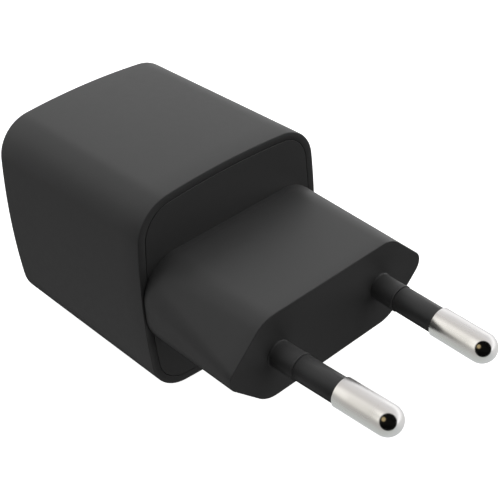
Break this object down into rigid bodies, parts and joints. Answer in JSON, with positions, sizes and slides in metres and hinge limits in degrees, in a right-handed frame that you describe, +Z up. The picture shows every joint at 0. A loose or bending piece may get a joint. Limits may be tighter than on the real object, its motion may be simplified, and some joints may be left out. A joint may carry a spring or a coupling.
{
  "type": "usb wall charger",
  "caption": "Square matte black mains charger with a two-pin Europlug nose at the front and a USB-C port in the back.",
  "frame": {"origin": "middle of the plug's engagement face, half way between the two pins", "axes": "-Y is the way the pins point into the socket, +Y runs through the body to the port, +X runs across the pins, +Z is up"},
  "size_m": [0.0346, 0.0687, 0.0318],
  "materials": {
    "case_plastic": "fine matte",
    "sleeve_plastic": "smooth satin",
    "pin_nickel": "polished nickel plate",
    "port_steel": "drawn sheet",
    "port_black": "moulded",
    "gold": "plated",
    "natural_nylon": "moulded",
    "copper": "rolled and drawn",
    "board": "solder mask",
    "tinned": "tin plate",
    "chip": "moulded epoxy",
    "fuse_plastic": "moulded",
    "thermistor_coat": "dipped coating",
    "film_capacitor": "moulded box",
    "y_capacitor_coat": "moulded box",
    "ferrite": "ground ferrite",
    "can_aluminium": "drawn",
    "can_sleeve": "shrunk sleeve",
    "seal_rubber": "moulded",
    "tape": "polyester tape",
    "ceramic_tan": "fired",
    "polymer_case": "moulded epoxy",
    "liner": "pressboard sheet",
    "spreader": "rolled sheet",
    "gap_pad": "soft filler"
  },
  "bodies": {
    "root": {"rear_shell": "case_plastic", "front_cap": "case_plastic", "left_pin": "pin_nickel", "right_pin": "pin_nickel", "left_pin_sleeve": "sleeve_plastic", "right_pin_sleeve": "sleeve_plastic", "pin_retainer": "natural_nylon", "left_contact_spring": "copper", "right_contact_spring": "copper", "input_board": "board", "input_fuse": "fuse_plastic", "inrush_thermistor": "thermistor_coat", "x_capacitor": "film_capacitor", "choke_core": "ferrite", "choke_winding": "copper", "input_link_pins": "tinned", "main_board": "board", "bridge_rectifier": "chip", "bulk_capacitor_cans": "can_aluminium", "bulk_capacitor_sleeves": "can_sleeve", "bulk_capacitor_seals": "seal_rubber", "bulk_capacitor_leads": "tinned", "primary_controller": "chip", "snubber_diode": "chip", "snubber_capacitors": "ceramic_tan", "transformer_core": "ferrite", "transformer_bobbin": "chip", "transformer_winding": "copper", "transformer_tape": "tape", "transformer_pins": "tinned", "y_capacitor": "y_capacitor_coat", "optocoupler": "chip", "port_board": "board", "port_link_pins": "tinned", "sync_rectifier": "chip", "output_capacitors": "polymer_case", "port_controller": "chip", "output_switch": "chip", "ceramic_capacitors": "ceramic_tan", "chip_resistors": "chip", "usb_c_shell": "port_steel", "usb_c_body": "port_black", "usb_c_tongue": "port_black", "usb_c_contacts": "gold", "insulating_liner": "liner", "heat_spreader": "spreader", "thermal_pad": "gap_pad"}
  },
  "joints": []
}
